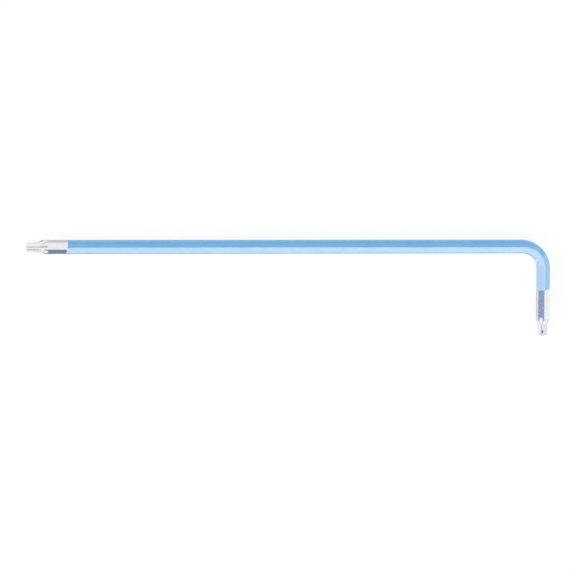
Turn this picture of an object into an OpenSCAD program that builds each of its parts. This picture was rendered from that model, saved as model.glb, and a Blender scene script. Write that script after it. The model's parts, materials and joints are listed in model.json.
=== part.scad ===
// Star key: one hexagonal steel bar bent into an L, with a six-lobed star formed on each end.
// A coloured powder coat covers the bar between its two bare ends.
// The key lies flat. The long arm runs along X, the short arm points to -Y and +Z is up.
// The origin is the middle of the key's footprint, on the surface that it lies on.
// Two opposite edges of the bar point straight up and down, so its flats face along the bend's plane.

/* [Bar] */
// Width of the hexagonal bar across its flats, mm
bar_across_flats = 3; // [2.8:0.05:3.6]
// Radius of the bar's six long edges, mm
bar_edge_radius = 0.15; // [0.05:0.01:0.3]

/* [Arms] */
// Straight length of the long arm, from its tip to the bend, mm
long_straight = 122; // [40:1:200]
// Straight length of the short arm, from its tip to the bend, mm
short_straight = 17.6; // [15:0.1:40]
// Radius of the bend at the middle of the bar, mm
bend_radius = 6.2; // [4:0.1:12]
// Angle through which the bar turns at the bend, degrees
bend_turn = 85; // [70:1:90]
// Depth by which the bar draws in all round where it is bent, mm
bend_draw = 0.01; // [0.005:0.005:0.05]

/* [Star tips] */
// Width of the star over two opposite lobes, mm
star_across = 2.74; // [2.4:0.01:2.9]
// Width between two opposite flutes, as a share of the width over the lobes
star_waist_share = 0.72; // [0.7:0.005:0.74]
// Radius of a lobe, as a share of the width over the lobes
star_lobe_share = 0.08; // [0.06:0.005:0.1]
// Straight length of the star, mm
star_length = 2.9; // [2:0.1:4]
// Width of the fine step all round where the star leaves its neck, mm
star_step = 0.03; // [0.02:0.01:0.06]
// Length of the shoulder that narrows the bar's edges to the lobes, mm
shoulder_length = 1.4; // [0.8:0.1:2]
// Length over which each flute runs out on to its flat, mm
flute_runout = 2.2; // [1.4:0.1:3]
// Length of the bevel at the end of the star, mm
tip_bevel_length = 0.25; // [0.1:0.05:0.6]
// Slope of that bevel from the axis, degrees
tip_bevel_angle = 35; // [15:1:45]

/* [Powder coat] */
// Thickness of the coat on the bar's flats, mm
coat_thickness = 0.08; // [0.05:0.01:0.15]
// Thickness of the coat over the bar's edges, as a share of that on the flats
coat_edge_share = 0.55; // [0.4:0.05:0.9]
// Length of the bare end of the long arm, mm
long_bare = 9.5; // [8:0.1:20]
// Length of the bare end of the short arm, mm
short_bare = 12.2; // [9:0.1:14]

/* [Hidden] */

steel_colour = [0.86, 0.88, 0.9];
coat_colour = [0.45, 0.71, 0.9];

sides = 6;
side_angle = 360 / sides;
half_side_angle = side_angle / 2;

// Angle by which the bend runs on into each arm, where the arm hides it
bend_lap = 0.5;

// Flat segments in one rounded edge of the bar or its coat, one lobe and one flute
bar_edge_steps = 4;
coat_edge_steps = 6;
lobe_steps = 8;
flute_steps = 8;
$fn = 180;

// Bar: a corner's radius takes this share of itself off the distance from the axis to the corner
corner_share = 1 / cos(half_side_angle) - 1;
bar_flat = bar_across_flats / 2;
bar_corner = bar_flat * (1 + corner_share) - bar_edge_radius * corner_share;

// Coat: its corner radius is the one that leaves the wanted thickness over the bar's edges
coat_flat = bar_flat + coat_thickness;
coat_corner = bar_corner + coat_thickness * coat_edge_share;
coat_edge_radius = (coat_flat * (1 + corner_share) - coat_corner) / corner_share;

// Star: lobe arcs and flute arcs meet tangentially, which fixes the flute's radius
lobe_reach = star_across / 2;
lobe_radius = star_across * star_lobe_share;
lobe_centre = lobe_reach - lobe_radius;
flute_reach = lobe_reach * star_waist_share;
lobe_centre_on_flute = lobe_centre * cos(half_side_angle);
lobe_to_flute_squared = lobe_centre ^ 2 + flute_reach ^ 2 - 2 * flute_reach * lobe_centre_on_flute;
flute_radius = (lobe_to_flute_squared - lobe_radius ^ 2)
    / (2 * (lobe_radius + lobe_centre_on_flute - flute_reach));
flute_centre = flute_reach + flute_radius;
centre_gap_along = flute_centre - lobe_centre_on_flute;
centre_gap_across = lobe_centre * sin(half_side_angle);
flute_half_angle = atan2(centre_gap_across, centre_gap_along);
lobe_half_angle = half_side_angle + flute_half_angle;

// Neck between star and bar: the flutes climb out of it and the shoulder cone widens it
neck_length = shoulder_length + flute_runout;
neck_lobe_reach = lobe_reach + star_step;
neck_flute_reach = flute_reach + star_step;
neck_flute_radius = flute_radius - star_step;
flute_climb = atan2(bar_flat - neck_flute_reach, flute_runout);
shoulder_slope = (bar_corner - neck_lobe_reach) / shoulder_length;
bevel_depth = tip_bevel_length * tan(tip_bevel_angle);
formed_length = star_length + neck_length;
// Length by which a flute's cutter runs past the neck at each end
cutter_overrun = neck_length;

// How far past the start of the bend a point of the short arm reaches along X,
// for its distance from the arm's axis and its distance from the tip
function reach(off_axis, from_tip) =
    (bend_radius + off_axis) * sin(bend_turn) + (short_straight - from_tip) * cos(bend_turn);

// Footprint of the key about the start of the bend, for placing the origin
star_half_width = lobe_centre_on_flute + lobe_radius;
coat_reach = reach(coat_flat, short_bare);
bar_reach = reach(bar_flat, formed_length);
tip_reach = reach(star_half_width, tip_bevel_length);
reach_x = max(coat_reach, bar_reach, tip_reach);
end_inner = bend_radius - star_half_width + bevel_depth;
reach_y = bend_radius - end_inner * cos(bend_turn) + short_straight * sin(bend_turn);
bend_start = [(long_straight - reach_x) / 2, (reach_y - coat_flat) / 2, coat_corner];

// Points of an arc about centre, from one angle to another, from its point number first to number last
function arc_part(centre, radius, from, to, steps, first, last) = [
    for (i = [first:last])
        let (a = from + (to - from) * i / steps)
        centre + radius * [cos(a), sin(a)]
];

// All the points of an arc, with both of its ends
function arc(centre, radius, from, to, steps) =
    arc_part(centre, radius, from, to, steps, 0, steps);

// The points of an arc between its ends
function arc_inside(centre, radius, from, to, steps) =
    arc_part(centre, radius, from, to, steps, 1, steps - 1);

// Points of a hexagon with rounded corners, one corner straight up
function rounded_hexagon(flat, radius, steps) = [
    for (k = [0:sides - 1])
        let (turn = k * side_angle + half_side_angle)
        let (centre = (flat - radius) / cos(half_side_angle) * [cos(turn), sin(turn)])
        each arc(centre, radius, turn - half_side_angle, turn + half_side_angle, steps)
];

// Points of the star: a flute facing each flat of the bar and a lobe under each of its edges
function star_points() = [
    for (k = [0:sides - 1])
        let (flute_turn = k * side_angle)
        let (lobe_turn = flute_turn + half_side_angle)
        let (flute_at = flute_centre * [cos(flute_turn), sin(flute_turn)])
        let (lobe_at = lobe_centre * [cos(lobe_turn), sin(lobe_turn)])
        each concat(
            arc_inside(flute_at, flute_radius, flute_turn + 180 + flute_half_angle,
                flute_turn + 180 - flute_half_angle, flute_steps),
            arc(lobe_at, lobe_radius, lobe_turn - lobe_half_angle,
                lobe_turn + lobe_half_angle, lobe_steps)
        )
];

module bar_outline(flat) {
    polygon(rounded_hexagon(flat, bar_edge_radius, bar_edge_steps));
}

module coat_outline(flat) {
    polygon(rounded_hexagon(flat, coat_edge_radius, coat_edge_steps));
}

// Straight star with a bevelled end, standing on its tip
module star() {
    intersection() {
        linear_extrude(star_length) polygon(star_points());
        cylinder(
            h = star_length,
            r1 = lobe_reach - bevel_depth,
            r2 = lobe_reach - bevel_depth + star_length * tan(tip_bevel_angle)
        );
    }
}

// A round cutter that leaves the star's flute and climbs out through the flat
module flute_cutter() {
    translate([neck_flute_reach, 0, 0])
        rotate([0, flute_climb, 0])
            translate([neck_flute_radius, 0, -cutter_overrun])
                cylinder(h = neck_length + 2 * cutter_overrun, r = neck_flute_radius);
}

// The piece of bar next to the star, standing on the star's end
module neck() {
    difference() {
        intersection() {
            linear_extrude(neck_length) bar_outline(bar_flat);
            cylinder(
                h = neck_length,
                r1 = neck_lobe_reach,
                r2 = neck_lobe_reach + shoulder_slope * neck_length
            );
        }
        for (k = [0:sides - 1])
            rotate(k * side_angle) flute_cutter();
    }
}

// The formed end of the bar, standing on its tip
module star_end() {
    star();
    translate([0, 0, star_length]) neck();
}

// A straight stretch of an arm that stands on its tip, from a given height up to the bend
module stretch(from, to) {
    translate([0, 0, from])
        linear_extrude(to - from) children();
}

// Lays an arm that stands on its tip along X, so that it ends where the bend starts
module lay_long() {
    translate([-long_straight, 0, 0])
        rotate([90, 0, 90])
            children();
}

// Puts a shape into the frame whose Z axis is the bend's axis and whose X axis meets the bend's end
module at_bend_end() {
    translate([0, -bend_radius, 0])
        rotate(90 - bend_turn)
            children();
}

// Lays an arm that stands on its tip along the short arm, so that it ends where the bend ends
module lay_short() {
    at_bend_end()
        translate([bend_radius, -short_straight, 0])
            rotate([-90, 0, 0])
                children();
}

// Sweeps an outline round the bend
module sweep_bend() {
    at_bend_end()
        rotate(-bend_lap)
            rotate_extrude(angle = bend_turn + 2 * bend_lap)
                translate([bend_radius, 0])
                    children();
}

// The plain hexagonal bar, without its star ends, from given distances from the two tips
module plain_bar(long_from, short_from) {
    lay_long() stretch(long_from, long_straight) bar_outline(bar_flat);
    sweep_bend() bar_outline(bar_flat - bend_draw);
    lay_short() stretch(short_from, short_straight) bar_outline(bar_flat);
}

// The bar together with its coat, over the length that is coated
module coated_bar() {
    lay_long() stretch(long_bare, long_straight) coat_outline(coat_flat);
    sweep_bend() coat_outline(coat_flat - bend_draw);
    lay_short() stretch(short_bare, short_straight) coat_outline(coat_flat);
}

module steel_key() {
    color(steel_colour)
        translate(bend_start) {
            lay_long() star_end();
            lay_short() star_end();
            plain_bar(formed_length, formed_length);
        }
}

module colour_coat() {
    color(coat_colour)
        translate(bend_start)
            difference() {
                coated_bar();
                plain_bar(formed_length, formed_length);
            }
}

steel_key();
colour_coat();
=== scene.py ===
"""Looks of the star key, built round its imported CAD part.

A plated hexagonal bar, bent into an L with a star on each end, carries a blue powder coat
between its bare ends.
"""

import json
import math

import bpy
from mathutils import Matrix, Vector


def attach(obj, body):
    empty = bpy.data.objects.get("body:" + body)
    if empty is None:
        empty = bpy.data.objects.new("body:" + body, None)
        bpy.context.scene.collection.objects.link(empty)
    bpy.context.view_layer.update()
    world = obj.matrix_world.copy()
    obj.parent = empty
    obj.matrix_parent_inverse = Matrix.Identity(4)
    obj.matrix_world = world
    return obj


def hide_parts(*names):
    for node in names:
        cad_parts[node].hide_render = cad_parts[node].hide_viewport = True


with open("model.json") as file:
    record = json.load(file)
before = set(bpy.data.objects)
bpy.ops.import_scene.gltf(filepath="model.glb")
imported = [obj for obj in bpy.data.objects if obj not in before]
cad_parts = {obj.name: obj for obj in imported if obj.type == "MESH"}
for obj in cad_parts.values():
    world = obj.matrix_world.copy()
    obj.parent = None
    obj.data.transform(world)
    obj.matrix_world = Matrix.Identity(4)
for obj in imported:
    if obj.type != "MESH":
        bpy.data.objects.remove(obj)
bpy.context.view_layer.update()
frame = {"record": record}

MM = 0.001
FULL_TURN = 2 * math.pi
SIDES = 6
SIDE = FULL_TURN / SIDES
HALF_SIDE = SIDE / 2

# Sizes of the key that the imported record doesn't state, in metres, as in the part's source.
# The two shares are of the star's reach, which is half its width over the lobes
BAR_FLAT = 1.5 * MM
BEND_RADIUS = 6.2 * MM
STAR_WAIST_SHARE = 0.72
LOBE_RADIUS_SHARE = 0.16
SHOULDER_LENGTH = 1.4 * MM
FLUTE_RUNOUT = 2.2 * MM
BEVEL_LENGTH = 0.25 * MM
BEVEL_SLOPE = math.tan(math.radians(35))
COAT_THICKNESS = 0.08 * MM
LONG_BARE = 9.5 * MM
SHORT_BARE = 12.2 * MM

# Small shapes that only the looks have, in metres: rounded edges, the star's blend into its neck,
# the share by which it narrows towards its tip, the coat's thin lips, and the slant and waviness of its ends.
# A wave has its count round the bar and its phase
BAR_EDGE_RADIUS = 0.22 * MM
STAR_BLEND = 0.35 * MM
TIP_TAPER_SHARE = 0.08
EDGE_SOFTNESS = 0.03 * MM
COAT_EDGE_RADIUS = 0.8 * MM
COAT_LIP = 0.16 * MM
COAT_SKIN = 0.002 * MM
LONG_END_SLANT = 0.3 * MM
SHORT_END_SLANT = 0.08 * MM
WAVE_DEPTH = 0.05 * MM
SINE_WAVE = (2, 0.7)
COSINE_WAVE = (3, -0.4)
SLANT_FADE = 4 * MM

# Meshes: faces on each side of the bar and how much they crowd towards its edges, and the angles in degrees
# from which an edge is sharp. Then the rings of points, in metres: steps between them, the length of the
# finest ones at a tip, how far a bare end's rings reach under the coat, and the rings on and after a lip
FACES_PER_SIDE = 28
EDGE_CROWDING = 1.6
STEEL_SHARP = 38
COAT_SHARP = 60
TIP_LENGTH = 0.4 * MM
TIP_STEP = 0.04 * MM
STAR_STEP = 0.4 * MM
NECK_STEP = 0.06 * MM
PLAIN_STEP = 1.5 * MM
PLAIN_LAP = 1 * MM
STEEL_BEND_STEP = 0.3 * MM
LIP_RINGS = 6
AFTER_LIP = 1.5 * COAT_LIP
SLANT_STEP = 0.5 * MM
COAT_STEP = 4 * MM
COAT_BEND_STEP = 0.15 * MM

# Where the finish changes: depth of cut that counts as formed, the frosted panel's ends and soft border,
# how far wear reaches from an edge of the bar and from an end of the coat, the flanks of the lobes that get
# painted shade, and the flank of the short arm that gets a painted highlight
FORMED_DEPTH = 0.02 * MM
PANEL_FROM_TIP = 3.3 * MM
PANEL_FADE = 1 * MM
PANEL_BORDER = math.radians(3)
WEAR_ANGLE = math.radians(9)
LIP_WEAR = 0.5 * MM
FLANK_AT = math.radians(15)
FLANK_HALF_WIDTH = math.radians(5)
# Painted highlight on the short arm's inner flank: its start past the bend, its fade and its border
HIGHLIGHT_START = 1 * MM
HIGHLIGHT_FADE = 6 * MM
HIGHLIGHT_BORDER = math.radians(14)

# Camera: where it stands, the direction back from what it looks at, which way is up in the picture,
# its focal length on a 36 mm wide picture, and the nearest and farthest that it sees, in metres
CAMERA_AT = Vector((-0.12608, 0.19415, 0.56517))
CAMERA_BACK = Vector((-0.20459, 0.31845, 0.9256))
PICTURE_UP = Vector((-0.0634, 1, 0))
PICTURE_WIDTH = 36
FOCAL_LENGTH = 156.4
CLIP_NEAR = 0.01
CLIP_FAR = 10

# Studio: a white tent with grey cards. A card has the direction in which it hangs, its colour, and the angles
# from that direction at which it starts and ends its fade into the tent, in degrees
TENT_LEAN = (0.95, 0.1, 0.3)
TENT_LEVELS = (0.93, 1.08)
CARDS = [
    ((0.10, -0.97, 0.21), (0.25, 0.29, 0.41, 1), 8, 14),
    ((-0.61, -0.40, 0.685), (0.29, 0.34, 0.47, 1), 9, 15),
    ((0.0, 0.99, 0.1), (0.15, 0.15, 0.15, 1), 16, 27),
    ((-0.335, 0.638, 0.693), (0.5, 0.51, 0.52, 1), 8, 14),
    ((0.64, -0.29, 0.71), (0.4, 0.4, 0.43, 1), 6, 11),
]

# Floor: half its width in metres, its finish, and how much whiter than lit the camera and a mirror see it.
# Here and below, a noise has its scale, its detail and its roughness
FLOOR_HALF = 3.0
FLOOR_COLOURS = ((0.93, 0.93, 0.93, 1), (0.95, 0.95, 0.95, 1))
FLOOR_NOISE = (30.0, 2.0, 0.5)
FLOOR_ROUGH = 0.9
FLOOR_GLOSS = 0.1
CAMERA_LIFT = 0.87
MIRROR_LIFT = 0.2

# Lamp for the floor alone: direction in which it hangs, distance and width in metres,
# and level, which is the light that a white card facing it gets
FLOOR_LAMP = ((-0.8, -0.35, 0.48), 0.8, 0.25, 0.6)

# Box of soft panels that only the coat's gloss shows: name, middle, direction it faces,
# width and height in metres, and glow
PANEL_COLOUR = (1.0, 0.8, 0.6)
GLOSS_PANELS = [
    ("front_panel", (-0.12, -0.6, 0.5), (0, 1, 0), 0.96, 0.4, 4.6),
    ("low_panel", (0.1175, -0.6, 0.19), (0, 1, 0), 0.335, 0.22, 4.6),
    ("crook_panel", (-0.2, -0.6, 0.23), (0, 1, 0), 0.3, 0.14, 4.6),
    ("left_panel", (-0.6, -0.25, 0.45), (1, 0, 0), 0.7, 0.5, 4.3),
    ("top_panel", (-0.01, -0.04, 0.7), (0, 0, -1), 1.18, 1.12, 4.4),
    ("far_panel", (0.84, 0.235, 0.7), (0, 0, -1), 0.52, 0.57, 4.4),
    ("corner_panel", (0.84, -0.325, 0.7), (0, 0, -1), 0.52, 0.55, 1.6),
    ("right_panel", (1.1, -0.45, 0.36), (-1, 0, 0), 1.3, 0.68, 1.6),
]

# Steel finish: the two ends of each range of colour or roughness, its patterns and the depths of its relief.
# Limits are the values of a noise at which such a range starts and ends
STEEL_COLOURS = ((0.77, 0.775, 0.795, 1), (0.82, 0.825, 0.84, 1))
FORMED_COLOUR = (0.9, 0.905, 0.92, 1)
# Painted shade for the lobes' flanks
FLANK_SHADE_COLOUR = (0.6, 0.61, 0.65, 1)
FROST_COLOURS = ((0.54, 0.63, 0.83, 1), (0.86, 0.92, 1.0, 1))
# Painted dark reflection near the short tip
DARK_REFLECTION_COLOUR = (0.03, 0.045, 0.07, 1)
STEEL_GRAZING = (0.75, 0.74, 0.73, 1)
STEEL_ROUGH = (0.07, 0.14)
FROST_ROUGH = 0.3
LINES_PER_MM = (0.35, 14.0, 1.0)
LINE_NOISE = (1.0, 4.0, 0.6)
LINE_LIMITS = (0.3, 0.7)
LINE_DEPTH = 0.0012 * MM
CLOUD_NOISE = (900.0, 3.0, 0.5)
CLOUD_LIMITS = (0.35, 0.65)
FROST_NOISE = (6.5, 2.0, 0.55)
FROST_LIMITS = (0.36, 0.64)
FROST_DEPTH = 0.0015 * MM

# Coat finish, in the same way, with how strong its wear is and the least share of the painted highlight
# on the short arm's inner flank
COAT_COLOURS = ((0.113, 0.4, 0.73, 1), (0.132, 0.43, 0.77, 1))
COAT_WORN = (0.3, 0.54, 0.78, 1)
# Painted highlight for the short arm's inner flank
COAT_HIGHLIGHT = (0.5, 0.66, 0.9, 1)
# Colour of pale spots on the coat inside the bend
PALE_SPOT_COLOUR = (0.75, 0.85, 0.97, 1)
COAT_ROUGH = (0.1, 0.16)
COAT_IOR = 1.75
BROAD_NOISE = (160.0, 3.0, 0.5)
BROAD_LIMITS = (0.3, 0.7)
PEEL_NOISE = (2600.0, 2.0, 0.5)
PEEL_LIMITS = (0.3, 0.7)
PEEL_DEPTH = 0.004 * MM
FINE_NOISE = (9000.0, 1.0, 0.5)
FINE_DEPTH = 0.0006 * MM
WEAR_NOISE = (700.0, 4.0, 0.65)
WEAR_LIMITS = (0.45, 0.75)
WEAR_STRENGTH = 0.7
HIGHLIGHT_LEAST = 0.75

mounts = {m["name"]: m for m in frame["record"]["mounts"]}


def tip_of(name):
    """Middle of a tip's end and the direction from it into the arm."""
    mount = mounts[name]
    return Vector(mount["pos_m"]), -Vector(mount["axis"]).normalized()


# The bar's middle line: the long arm, the bend and the short arm
UP = Vector((0, 0, 1))
LONG_TIP, LONG_IN = tip_of("long_star")
SHORT_TIP, SHORT_IN = tip_of("short_star")
TURN = LONG_IN.angle(-SHORT_IN)
TANGENT = BEND_RADIUS * math.tan(TURN / 2)
LONG_OUT = UP.cross(LONG_IN)
ACROSS = SHORT_TIP - LONG_TIP
CORNER = LONG_TIP + LONG_IN * (ACROSS.dot(LONG_IN) + ACROSS.dot(LONG_OUT) / math.tan(TURN))
LONG_STRAIGHT = (CORNER - LONG_TIP).length - TANGENT
SHORT_STRAIGHT = (CORNER - SHORT_TIP).length - TANGENT
BEND_LENGTH = BEND_RADIUS * TURN
BEND_END = LONG_STRAIGHT + BEND_LENGTH
TOTAL = BEND_END + SHORT_STRAIGHT
BEND_CENTRE = LONG_TIP + LONG_IN * LONG_STRAIGHT - LONG_OUT * BEND_RADIUS

# Ends of the coat, and marks: a painted dark reflection on a lobe's flank near the short tip, and pale spots
# on the coat inside the bend. A mark has its distance along the bar from the long tip, its angle round it,
# and half its length and width, and its colour is full over a core share of these
COAT_START = LONG_BARE
COAT_STOP = TOTAL - SHORT_BARE
MARK_CORE_SHARE = 0.5
# Painted dark reflection on a lobe's flank near the short tip
STEEL_DARK_REFLECTION = (TOTAL - 1.15 * MM, math.radians(344), 0.65 * MM, 0.28 * MM)
# Pale spots on the coat inside the bend
PALE_COAT_SPOTS = [
    (LONG_STRAIGHT + 5.7 * MM, math.radians(307), 0.6 * MM, 0.2 * MM),
    (LONG_STRAIGHT + 6.7 * MM, math.radians(299), 0.7 * MM, 0.2 * MM),
]


def station(along):
    """Point of the middle line at a distance from the long tip, and the direction out from the bend."""
    if along <= LONG_STRAIGHT:
        return LONG_TIP + LONG_IN * along, LONG_OUT
    turned = min((along - LONG_STRAIGHT) / BEND_RADIUS, TURN)
    out = Matrix.Rotation(-turned, 3, "Z") @ LONG_OUT
    point = BEND_CENTRE + out * BEND_RADIUS
    beyond = max(0.0, along - BEND_END)
    return point - SHORT_IN * beyond, out


def surface_point(along, angle, radius):
    """Point of the key's surface: angle 0 is the upper edge and a quarter turn is the outside of the bend."""
    point, out = station(along)
    return point + out * (radius * math.sin(angle)) + UP * (radius * math.cos(angle))


# Outlines of the bar, the star and the neck between them, as distances from the middle line

def from_edge(angle):
    """How far an angle is from the nearest edge of the bar, from 0 to half a side."""
    return abs((angle + HALF_SIDE) % SIDE - HALF_SIDE)


def hexagon_radius(angle, flat, edge_radius):
    """Hexagon with rounded edges."""
    away = from_edge(angle)
    centre = (flat - edge_radius) / math.cos(HALF_SIDE)
    touch = math.atan2(edge_radius * math.sin(HALF_SIDE), centre + edge_radius * math.cos(HALF_SIDE))
    if away >= touch:
        return flat / math.cos(HALF_SIDE - away)
    return centre * math.cos(away) + math.sqrt(edge_radius**2 - (centre * math.sin(away)) ** 2)


def bar_radius(angle):
    """The plain bar."""
    return hexagon_radius(angle, BAR_FLAT, BAR_EDGE_RADIUS)


# The star: lobe arcs and flute arcs meet tangentially, which fixes the flute's radius
LOBE_REACH = mounts["long_star"]["dims"]["r_mm"] * MM
STAR_LENGTH = mounts["long_star"]["dims"]["length_mm"] * MM
LOBE_RADIUS = LOBE_REACH * LOBE_RADIUS_SHARE
LOBE_CENTRE = LOBE_REACH - LOBE_RADIUS
FLUTE_REACH = LOBE_REACH * STAR_WAIST_SHARE
LOBE_ON_FLUTE = LOBE_CENTRE * math.cos(HALF_SIDE)
LOBE_TO_FLUTE_SQUARED = LOBE_CENTRE**2 + FLUTE_REACH**2 - 2 * FLUTE_REACH * LOBE_ON_FLUTE
FLUTE_RADIUS = (LOBE_TO_FLUTE_SQUARED - LOBE_RADIUS**2) / (2 * (LOBE_RADIUS + LOBE_ON_FLUTE - FLUTE_REACH))
FLUTE_CENTRE = FLUTE_REACH + FLUTE_RADIUS
FLUTE_HALF_ANGLE = math.atan2(LOBE_CENTRE * math.sin(HALF_SIDE), FLUTE_CENTRE - LOBE_ON_FLUTE)
LOBE_HALF_ANGLE = HALF_SIDE + FLUTE_HALF_ANGLE
LOBE_TOUCH = math.atan2(
    LOBE_RADIUS * math.sin(LOBE_HALF_ANGLE), LOBE_CENTRE + LOBE_RADIUS * math.cos(LOBE_HALF_ANGLE)
)
SHOULDER_SLOPE = (bar_radius(0) - LOBE_REACH) / SHOULDER_LENGTH
FLUTE_CLIMB = math.atan2(BAR_FLAT - FLUTE_REACH, FLUTE_RUNOUT)
FORMED_LENGTH = STAR_LENGTH + SHOULDER_LENGTH + FLUTE_RUNOUT


def star_radius(angle):
    """Round lobes under the bar's edges and round flutes between them."""
    away = from_edge(angle)
    if away <= LOBE_TOUCH:
        return LOBE_CENTRE * math.cos(away) + math.sqrt(LOBE_RADIUS**2 - (LOBE_CENTRE * math.sin(away)) ** 2)
    from_flute = HALF_SIDE - away
    return FLUTE_CENTRE * math.cos(from_flute) - math.sqrt(
        FLUTE_RADIUS**2 - (FLUTE_CENTRE * math.sin(from_flute)) ** 2
    )


def soft_min(a, b, softness):
    """Smaller of two distances, with the corner between them rounded."""
    blend = max(softness - abs(a - b), 0.0) / softness
    return min(a, b) - blend * blend * softness / 4


def smooth_step(x):
    """Smooth rise from 0 to 1."""
    x = min(max(x, 0.0), 1.0)
    return x * x * (3 - 2 * x)


def neck_radius(angle, beyond_star):
    """Bar, shoulder cone and climbing flute, whichever is nearest to the middle line."""
    cone = LOBE_REACH + SHOULDER_SLOPE * beyond_star
    radius = soft_min(bar_radius(angle), cone, EDGE_SOFTNESS)
    off = HALF_SIDE - from_edge(angle)
    centre = FLUTE_REACH + FLUTE_RADIUS / math.cos(FLUTE_CLIMB) + beyond_star * math.tan(FLUTE_CLIMB)
    squeeze = math.cos(FLUTE_CLIMB) ** 2
    a = math.cos(off) ** 2 * squeeze + math.sin(off) ** 2
    b = centre * math.cos(off) * squeeze
    c = centre**2 * squeeze - FLUTE_RADIUS**2
    inside = b * b - a * c
    if inside <= 0:
        return radius
    return soft_min(radius, (b - math.sqrt(inside)) / a, EDGE_SOFTNESS)


def steel_radius(from_tip, angle):
    """Surface of the steel at a distance from the nearer tip."""
    if from_tip > FORMED_LENGTH:
        return bar_radius(angle)
    taper = TIP_TAPER_SHARE * max(0.0, 1 - from_tip / STAR_LENGTH)
    radius = star_radius(angle) * (1 - taper)
    if from_tip > STAR_LENGTH:
        beyond = from_tip - STAR_LENGTH
        radius += (neck_radius(angle, beyond) - radius) * smooth_step(beyond / STAR_BLEND)
    bevel = LOBE_REACH + (from_tip - BEVEL_LENGTH) * BEVEL_SLOPE
    return soft_min(radius, bevel, EDGE_SOFTNESS)


def coat_radius(angle, cover):
    """Surface of the coat, where cover is the share of the full thickness."""
    bare = bar_radius(angle) + COAT_SKIN
    full = hexagon_radius(angle, BAR_FLAT + COAT_THICKNESS, COAT_EDGE_RADIUS)
    return bare + (full - bare) * cover


# Shares from 0 to 1 of how a finish changes over the surface. All take the distance along the bar
# and the angle round it, also where only one of them counts

def formed_share(along, angle):
    """Where forming has cut into the bar."""
    cut = bar_radius(angle) - steel_radius(min(along, TOTAL - along), angle)
    return smooth_step(cut / FORMED_DEPTH)


def flank_shade_share(along, angle):
    """Painted shade along both flanks of each lobe, where the flute starts."""
    beside = smooth_step(1 - abs(from_edge(angle) - FLANK_AT) / FLANK_HALF_WIDTH)
    return beside * formed_share(along, angle)


def panel_share(along, angle):
    """The frosted panel on the short arm, on the upper facet towards the long arm."""
    if along < COAT_STOP - PANEL_FADE:
        return 0.0
    lengthwise = smooth_step((TOTAL - along - PANEL_FROM_TIP) / PANEL_FADE)
    inside = min(angle - (FULL_TURN - SIDE), FULL_TURN - angle)
    return lengthwise * smooth_step(inside / PANEL_BORDER) * (1 - formed_share(along, angle))


def edge_share(along, angle):
    """Along the bar's edges."""
    return smooth_step(1 - from_edge(angle) / WEAR_ANGLE)


def lip_share(along, angle):
    """Next to an end of the coat."""
    return smooth_step(1 - min(along - COAT_START, COAT_STOP - along) / LIP_WEAR)


def highlight_share(along, angle):
    """Painted highlight on the flank of the short arm that faces the long arm."""
    lengthwise = smooth_step((along - LONG_STRAIGHT - HIGHLIGHT_START) / HIGHLIGHT_FADE)
    inside = HALF_SIDE + HIGHLIGHT_BORDER - abs(angle - (FULL_TURN - 3 * HALF_SIDE))
    return lengthwise * smooth_step(inside / HIGHLIGHT_BORDER)


# Meshes

def spread(start, end, step):
    """Evenly spaced values from start up to, but not including, end."""
    count = max(1, round((end - start) / step))
    return [start + (end - start) * i / count for i in range(count)]


def round_angles(per_side):
    """Angles round the bar, closer together near its edges."""
    half = per_side // 2
    shares = [(i / half) ** EDGE_CROWDING for i in range(half)]
    side = [HALF_SIDE * s for s in shares] + [SIDE - HALF_SIDE * s for s in [1.0, *shares[:0:-1]]]
    return [k * SIDE + a for k in range(SIDES) for a in side]


ANGLES = round_angles(FACES_PER_SIDE)
RING = len(ANGLES)


def ring_faces(count, closed):
    """Faces between rings of points in order. closed joins the last ring to the first."""
    faces = []
    for i in range(count if closed else count - 1):
        low = i * RING
        high = (i + 1) % count * RING
        for j in range(RING):
            k = (j + 1) % RING
            faces.append((low + j, high + j, high + k, low + k))
    return faces


def close_ends(verts, along, turns, faces):
    """Closes both ends of a tube with a fan round a new point."""
    for first, order in ((0, 1), (len(verts) - RING, -1)):
        middle = sum((verts[first + j] for j in range(RING)), Vector()) / RING
        verts.append(middle)
        along.append(along[first])
        turns.append(0.0)
        for j in range(RING):
            pair = (first + j, first + (j + 1) % RING)
            faces.append((len(verts) - 1, *pair[::order]))


def add_uv(mesh, along, turns):
    """UV map of the distance along the bar and the distance round it, in millimetres."""
    layer = mesh.uv_layers.new(name="along_round")
    for poly in mesh.polygons:
        columns = [mesh.loops[i].vertex_index % RING for i in poly.loop_indices]
        wrapped = 0 in columns and RING - 1 in columns
        for i in poly.loop_indices:
            v = mesh.loops[i].vertex_index
            turn = turns[v]
            if wrapped and v % RING == 0:
                turn += FULL_TURN
            layer.data[i].uv = (along[v] / MM, turn * BAR_FLAT / MM)


def tube_mesh(name, rings, closed, shares):
    """Mesh of rings of points, each with its distance along the bar, and with shares of its finish."""
    verts = [p for ring in rings for p, _ in ring]
    along = [s for ring in rings for _, s in ring]
    turns = ANGLES * len(rings)
    faces = ring_faces(len(rings), closed)
    if not closed:
        close_ends(verts, along, turns, faces)
    mesh = bpy.data.meshes.new(name)
    mesh.from_pydata(verts, [], faces)
    mesh.validate()
    add_uv(mesh, along, turns)
    for label, share in shares.items():
        values = mesh.attributes.new(label, "FLOAT", "POINT")
        values.data.foreach_set("value", [share(s, a) for s, a in zip(along, turns)])
    return mesh


def add_piece(mesh, node, sharp_angle):
    """Object for a mesh that stands for a CAD node, with edges sharper than an angle kept crisp."""
    piece = bpy.data.objects.new(mesh.name, mesh)
    bpy.context.scene.collection.objects.link(piece)
    mesh.shade_smooth()
    mesh.set_sharp_from_angle(angle=math.radians(sharp_angle))
    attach(piece, "root")
    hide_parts(node)
    return piece


def bend_places(step):
    """Distances along the bar over the bend, with both of its ends."""
    return spread(LONG_STRAIGHT, BEND_END, step) + [BEND_END]


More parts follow.
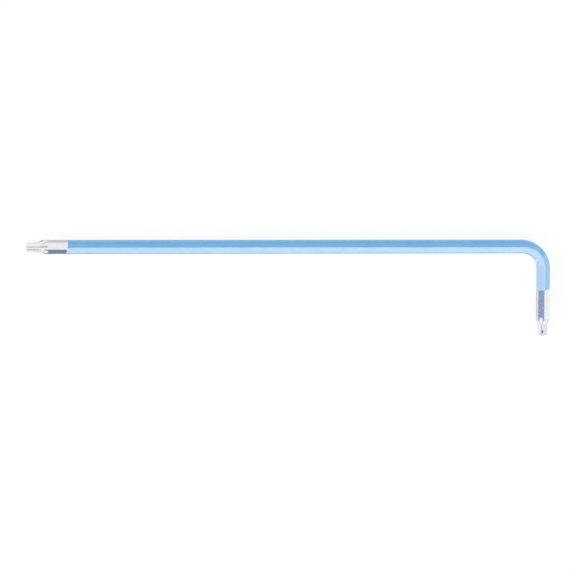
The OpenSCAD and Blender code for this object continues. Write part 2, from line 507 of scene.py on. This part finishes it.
def steel_piece():
    """The bar with its two star ends."""
    plain_end = SHORT_BARE + PLAIN_LAP
    tip = spread(0, TIP_LENGTH, TIP_STEP) + spread(TIP_LENGTH, STAR_LENGTH, STAR_STEP)
    tip += spread(STAR_LENGTH, FORMED_LENGTH, NECK_STEP)
    tip += spread(FORMED_LENGTH, plain_end, PLAIN_STEP) + [plain_end]
    places = tip + bend_places(STEEL_BEND_STEP) + [TOTAL - s for s in reversed(tip)]
    rings = [
        [(surface_point(s, a, steel_radius(min(s, TOTAL - s), a)), s) for a in ANGLES]
        for s in places
    ]
    shares = {"formed": formed_share, "flank": flank_shade_share, "panel": panel_share}
    return tube_mesh("plated_bar", rings, False, shares)


def end_stray(angle, slant):
    """How far an end of the coat strays along the bar at an angle round it."""
    sines, sine_phase = SINE_WAVE
    cosines, cosine_phase = COSINE_WAVE
    wave = math.sin(sines * angle + sine_phase) * math.cos(cosines * angle + cosine_phase)
    return slant * math.sin(angle) + WAVE_DEPTH * wave


def coat_place(s, angle):
    """Distance along the bar, moved with the slant of the nearer end of the coat."""
    long_stray = end_stray(angle, LONG_END_SLANT) * (1 - smooth_step((s - COAT_START) / SLANT_FADE))
    short_stray = end_stray(angle, SHORT_END_SLANT) * (1 - smooth_step((COAT_STOP - s) / SLANT_FADE))
    return s + long_stray - short_stray


def coat_cover(s):
    """Share of the coat's full thickness, which falls off in a round lip at both ends."""
    depth = min(s - COAT_START, COAT_STOP - s, COAT_LIP) / COAT_LIP
    return math.sqrt(max(0.0, 1 - (1 - depth) ** 2))


def coat_ring(s, inset, cover):
    """Ring of the coat's points, each with its distance along the bar."""
    places = [(coat_place(s, a), a) for a in ANGLES]
    return [(surface_point(p, a, coat_radius(a, cover) - inset), p) for p, a in places]


def coat_piece():
    """The coat, a closed sleeve whose ends thin out in a rounded lip."""
    lip_turn = FULL_TURN / 4 / LIP_RINGS
    lip = [COAT_LIP * (1 - math.cos(lip_turn * i)) for i in range(1, LIP_RINGS + 1)]
    near = lip + spread(AFTER_LIP, SLANT_FADE, SLANT_STEP)
    bend = bend_places(COAT_BEND_STEP)
    outer = [COAT_START, *(COAT_START + d for d in near)]
    outer += spread(COAT_START + SLANT_FADE, LONG_STRAIGHT, COAT_STEP) + bend
    outer += [*(COAT_STOP - d for d in reversed(near)), COAT_STOP]
    inner = [COAT_STOP - COAT_LIP, *reversed(bend), COAT_START + COAT_LIP]
    rings = [coat_ring(s, 0, coat_cover(s)) for s in outer]
    rings += [coat_ring(s, 2 * COAT_SKIN, 0) for s in inner]
    shares = {"edge": edge_share, "lip": lip_share, "painted_highlight": highlight_share}
    return tube_mesh("powder_coat", rings, True, shares)


# Materials

class Nodes:
    """Short calls for building a node tree."""

    def __init__(self, tree):
        self.tree = tree

    def add(self, kind, inputs=None, **settings):
        node = self.tree.nodes.new(kind)
        for key, value in settings.items():
            setattr(node, key, value)
        for key, value in (inputs or {}).items():
            self.put(node.inputs[key], value)
        return node

    def put(self, socket, value):
        """Links a node's output to a socket, or sets the socket to a plain value."""
        if isinstance(value, bpy.types.NodeSocket):
            self.tree.links.new(value, socket)
        else:
            socket.default_value = value

    def object_place(self):
        return self.add("ShaderNodeTexCoord").outputs["Object"]

    def uv(self):
        return self.add("ShaderNodeUVMap", uv_map="along_round").outputs["UV"]

    def noise(self, vector, scale, detail, rough):
        inputs = {"Vector": vector, "Scale": scale, "Detail": detail, "Roughness": rough}
        return self.add("ShaderNodeTexNoise", inputs).outputs["Fac"]

    def share(self, label):
        """One of the mesh's shares."""
        return self.add("ShaderNodeAttribute", attribute_name=label).outputs["Fac"]

    def math(self, operation, a, b):
        return self.add("ShaderNodeMath", {0: a, 1: b}, operation=operation).outputs[0]

    def vector_math(self, operation, a, b):
        made = self.add("ShaderNodeVectorMath", {0: a, 1: b}, operation=operation)
        single = operation in ("DOT_PRODUCT", "DISTANCE")
        return made.outputs["Value" if single else "Vector"]

    def remap(self, value, low, high, to_low=0.0, to_high=1.0):
        inputs = {"Value": value, "From Min": low, "From Max": high, "To Min": to_low, "To Max": to_high}
        return self.add("ShaderNodeMapRange", inputs).outputs["Result"]

    def mix(self, factor, a, b):
        """Colour between a and b."""
        inputs = {"Factor": factor, "A": a, "B": b}
        return self.add("ShaderNodeMix", inputs, data_type="RGBA").outputs["Result"]

    def blend(self, factor, a, b):
        """Number between a and b."""
        inputs = {"Factor": factor, "A": a, "B": b}
        return self.add("ShaderNodeMix", inputs, data_type="FLOAT").outputs["Result"]

    def spot(self, uv, along, angle, half_length, half_width):
        """Share of a soft oval mark at a distance along the bar and an angle round it."""
        squash = (MM / half_length, MM / half_width, 1)
        middle = (along / half_length, angle * BAR_FLAT / half_width, 0)
        off = self.vector_math("DISTANCE", self.vector_math("MULTIPLY", uv, squash), middle)
        return self.remap(off, 1, MARK_CORE_SHARE)

    def bump(self, height, depth, normal=None):
        made = self.add("ShaderNodeBump", {"Height": height, "Distance": depth, "Strength": 1.0})
        if normal:
            self.put(made.inputs["Normal"], normal)
        return made.outputs["Normal"]


def new_material(name):
    """A material, its node calls and its surface shader's inputs."""
    material = bpy.data.materials.new(name)
    material.use_nodes = True
    return material, Nodes(material.node_tree), material.node_tree.nodes["Principled BSDF"].inputs


def steel_material():
    """Bright plating with fine lines along the bar, cleaner on the formed ends, and a frosted panel,
    with painted shade on the lobes' flanks and a painted dark reflection near the short tip.
    """
    material, n, shader = new_material("plated_steel")
    uv = n.uv()
    lines = n.noise(n.vector_math("MULTIPLY", uv, LINES_PER_MM), *LINE_NOISE)
    cloud = n.remap(n.noise(n.object_place(), *CLOUD_NOISE), *CLOUD_LIMITS)
    grains = n.remap(n.noise(uv, *FROST_NOISE), *FROST_LIMITS)
    frost = n.share("panel")
    etched = n.math("MULTIPLY", frost, grains)
    colour = n.mix(n.share("formed"), n.mix(cloud, *STEEL_COLOURS), FORMED_COLOUR)
    # Painted shade along the lobes' flanks
    colour = n.mix(n.share("flank"), colour, FLANK_SHADE_COLOUR)
    colour = n.mix(frost, colour, n.mix(grains, *FROST_COLOURS))
    # Painted dark reflection near the short tip
    colour = n.mix(n.spot(uv, *STEEL_DARK_REFLECTION), colour, DARK_REFLECTION_COLOUR)
    n.put(shader["Base Color"], colour)
    n.put(shader["Metallic"], 1.0)
    n.put(shader["Specular Tint"], STEEL_GRAZING)
    rough = n.remap(lines, *LINE_LIMITS, *STEEL_ROUGH)
    n.put(shader["Roughness"], n.blend(etched, rough, FROST_ROUGH))
    n.put(shader["Normal"], n.bump(lines, LINE_DEPTH, n.bump(etched, FROST_DEPTH)))
    return material


def coat_material():
    """Glossy powder coat: orange peel, a fine grain, broad changes of colour, and paler worn places,
    with a painted highlight on the short arm's inner flank and two pale spots inside the bend.
    """
    material, n, shader = new_material("blue_powder_coat")
    uv = n.uv()
    place = n.object_place()
    broad = n.remap(n.noise(place, *BROAD_NOISE), *BROAD_LIMITS)
    peel = n.noise(place, *PEEL_NOISE)
    fine = n.noise(place, *FINE_NOISE)
    patches = n.remap(n.noise(place, *WEAR_NOISE), *WEAR_LIMITS)
    worn = n.math("MULTIPLY", n.math("MAXIMUM", n.share("edge"), n.share("lip")), patches)
    # Painted highlight on the short arm's inner flank, patchy with the wear noise
    highlight = n.math("MULTIPLY", n.share("painted_highlight"), n.remap(patches, 0, 1, HIGHLIGHT_LEAST, 1))
    colour = n.mix(n.math("MULTIPLY", worn, WEAR_STRENGTH), n.mix(broad, *COAT_COLOURS), COAT_WORN)
    # Painted highlight on the short arm's inner flank
    colour = n.mix(highlight, colour, COAT_HIGHLIGHT)
    # Pale spots inside the bend
    for pale_spot in PALE_COAT_SPOTS:
        colour = n.mix(n.spot(uv, *pale_spot), colour, PALE_SPOT_COLOUR)
    n.put(shader["Base Color"], colour)
    n.put(shader["Roughness"], n.remap(peel, *PEEL_LIMITS, *COAT_ROUGH))
    n.put(shader["IOR"], COAT_IOR)
    n.put(shader["Normal"], n.bump(fine, FINE_DEPTH, n.bump(peel, PEEL_DEPTH)))
    return material


def floor_material():
    """White that the camera sees a little whiter than its light makes it."""
    material, n, shader = new_material("floor_white")
    n.put(shader["Base Color"], n.mix(n.noise(n.object_place(), *FLOOR_NOISE), *FLOOR_COLOURS))
    n.put(shader["Roughness"], FLOOR_ROUGH)
    n.put(shader["Specular IOR Level"], FLOOR_GLOSS)
    path = n.add("ShaderNodeLightPath").outputs
    seen = n.math("MULTIPLY", path["Is Camera Ray"], CAMERA_LIFT)
    mirrored = n.math("MAXIMUM", path["Is Glossy Ray"], path["Is Transmission Ray"])
    lift = n.math("MAXIMUM", seen, n.math("MULTIPLY", mirrored, MIRROR_LIFT))
    white = n.add("ShaderNodeEmission", {"Color": (1, 1, 1, 1), "Strength": 1.0}).outputs[0]
    lit = n.tree.nodes["Principled BSDF"].outputs[0]
    lifted = n.add("ShaderNodeMixShader", {0: lift, 1: lit, 2: white}).outputs[0]
    n.put(n.tree.nodes["Material Output"].inputs["Surface"], lifted)
    return material


# Stage

def add_floor():
    """Plain white floor that the key lies on."""
    far = FLOOR_HALF
    mesh = bpy.data.meshes.new("floor")
    mesh.from_pydata([(-far, -far, 0), (far, -far, 0), (far, far, 0), (-far, far, 0)], [], [(0, 1, 2, 3)])
    mesh.materials.append(floor_material())
    floor = bpy.data.objects.new("floor", mesh)
    bpy.context.scene.collection.objects.link(floor)
    return floor


def add_lamp(name, middle, facing, width, height, energy, only_on):
    """Soft box whose light stays on one object."""
    data = bpy.data.lights.new(name, "AREA")
    data.shape = "RECTANGLE"
    data.size = width
    data.size_y = height
    data.energy = energy
    lamp = bpy.data.objects.new(name, data)
    lamp.location = middle
    lamp.rotation_euler = Vector(facing).to_track_quat("-Z", "Y").to_euler()
    bpy.context.scene.collection.objects.link(lamp)
    receivers = bpy.data.collections.new(name + "_receivers")
    receivers.objects.link(only_on)
    lamp.light_linking.receiver_collection = receivers
    return lamp


def add_floor_lamp(floor, towards, distance, width, level):
    """Low lamp that brightens the floor."""
    away = Vector(towards).normalized()
    energy = level * (math.pi * distance) ** 2
    add_lamp("floor_lamp", away * distance, -away, width, width, energy, floor)


def add_gloss_panel(coat, name, middle, facing, width, height, glow):
    """Soft panel that shows in the coat's gloss."""
    energy = glow * math.pi * width * height
    panel = add_lamp(name, middle, facing, width, height, energy, coat)
    panel.data.color = PANEL_COLOUR
    panel.visible_diffuse = False


def add_world():
    """White tent with its cards."""
    world = bpy.data.worlds.new("studio")
    bpy.context.scene.world = world
    world.use_nodes = True
    n = Nodes(world.node_tree)
    towards = n.add("ShaderNodeTexCoord").outputs["Generated"]
    lean = n.remap(n.vector_math("DOT_PRODUCT", towards, TENT_LEAN), -1, 1)
    colour = n.mix(lean, *((level, level, level, 1) for level in TENT_LEVELS))
    for hangs, shade, full, faded in CARDS:
        facing = n.vector_math("DOT_PRODUCT", towards, Vector(hangs).normalized())
        near = n.remap(facing, math.cos(math.radians(faded)), math.cos(math.radians(full)))
        colour = n.mix(near, colour, shade)
    n.put(world.node_tree.nodes["Background"].inputs["Color"], colour)


def add_camera():
    """Camera at the photograph's place."""
    data = bpy.data.cameras.new("camera")
    data.sensor_width = PICTURE_WIDTH
    data.lens = FOCAL_LENGTH
    data.clip_start = CLIP_NEAR
    data.clip_end = CLIP_FAR
    camera = bpy.data.objects.new("camera", data)
    back = CAMERA_BACK.normalized()
    right = PICTURE_UP.cross(back).normalized()
    turn = Matrix((right, back.cross(right), back)).transposed()
    camera.matrix_world = Matrix.Translation(CAMERA_AT) @ turn.to_4x4()
    bpy.context.scene.collection.objects.link(camera)
    bpy.context.scene.camera = camera


plated_bar = add_piece(steel_piece(), "steel_key", STEEL_SHARP)
plated_bar.data.materials.append(steel_material())
powder_coat = add_piece(coat_piece(), "colour_coat", COAT_SHARP)
powder_coat.data.materials.append(coat_material())

add_floor_lamp(add_floor(), *FLOOR_LAMP)
for panel in GLOSS_PANELS:
    add_gloss_panel(powder_coat, *panel)
add_world()
add_camera()
bpy.context.scene.view_settings.view_transform = "Standard"
